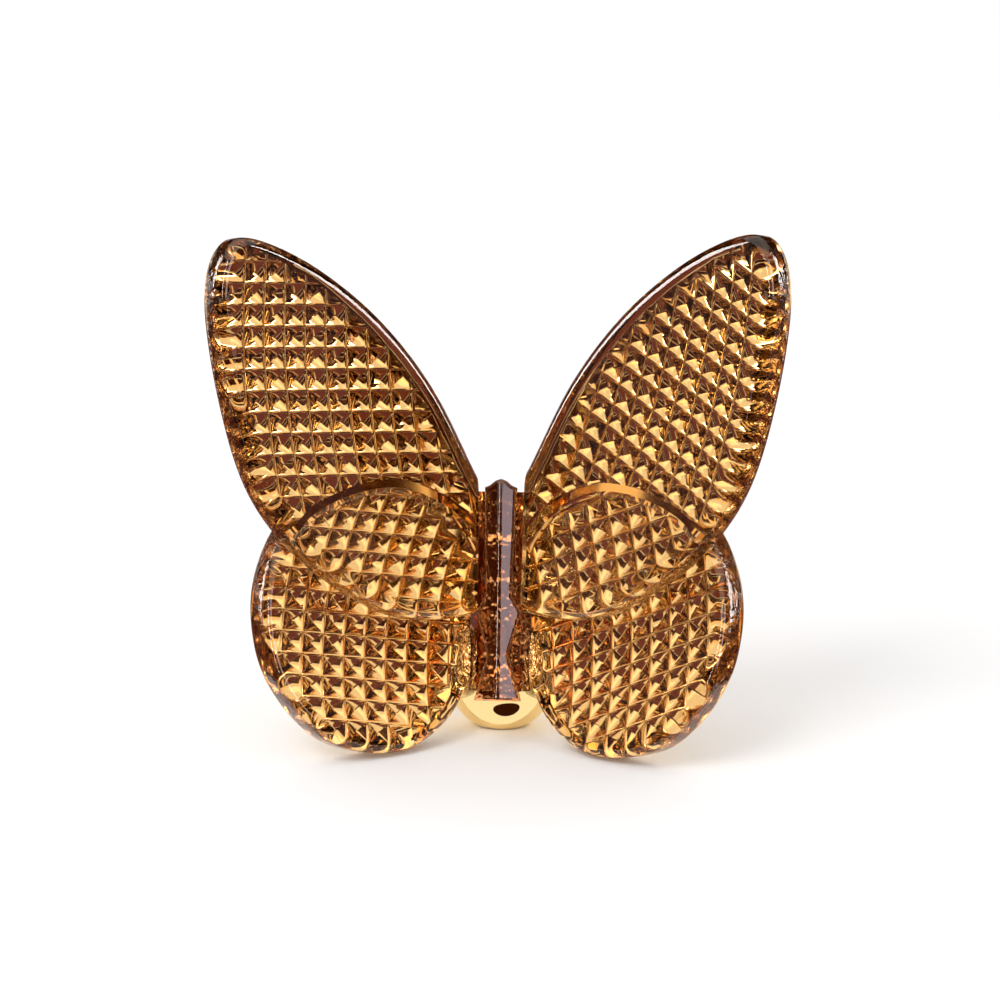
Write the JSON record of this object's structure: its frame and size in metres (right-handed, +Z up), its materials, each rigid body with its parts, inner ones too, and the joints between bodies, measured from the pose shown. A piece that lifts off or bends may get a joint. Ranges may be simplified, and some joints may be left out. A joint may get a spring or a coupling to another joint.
{
  "type": "butterfly ornament",
  "caption": "Standing crystal butterfly with cupped wings, diamond points on the wing backs, a faceted body and a rounded rear foot.",
  "frame": {"origin": "on the table, under the middle of the ornament's box", "axes": "+X to the viewer's right, -Y out of the front of the wings, +Z up"},
  "size_m": [0.0763, 0.0288, 0.071],
  "materials": {
    "crystal_wing": "polished amber crystal with gold lustre behind",
    "crystal_body": "polished amber crystal",
    "crystal_foot": "polished pale gold crystal"
  },
  "bodies": {
    "root": {"body": "crystal_body", "rear_foot": "crystal_foot", "left_forewing": "crystal_wing", "right_forewing": "crystal_wing", "left_hindwing": "crystal_wing", "right_hindwing": "crystal_wing"}
  },
  "joints": []
}
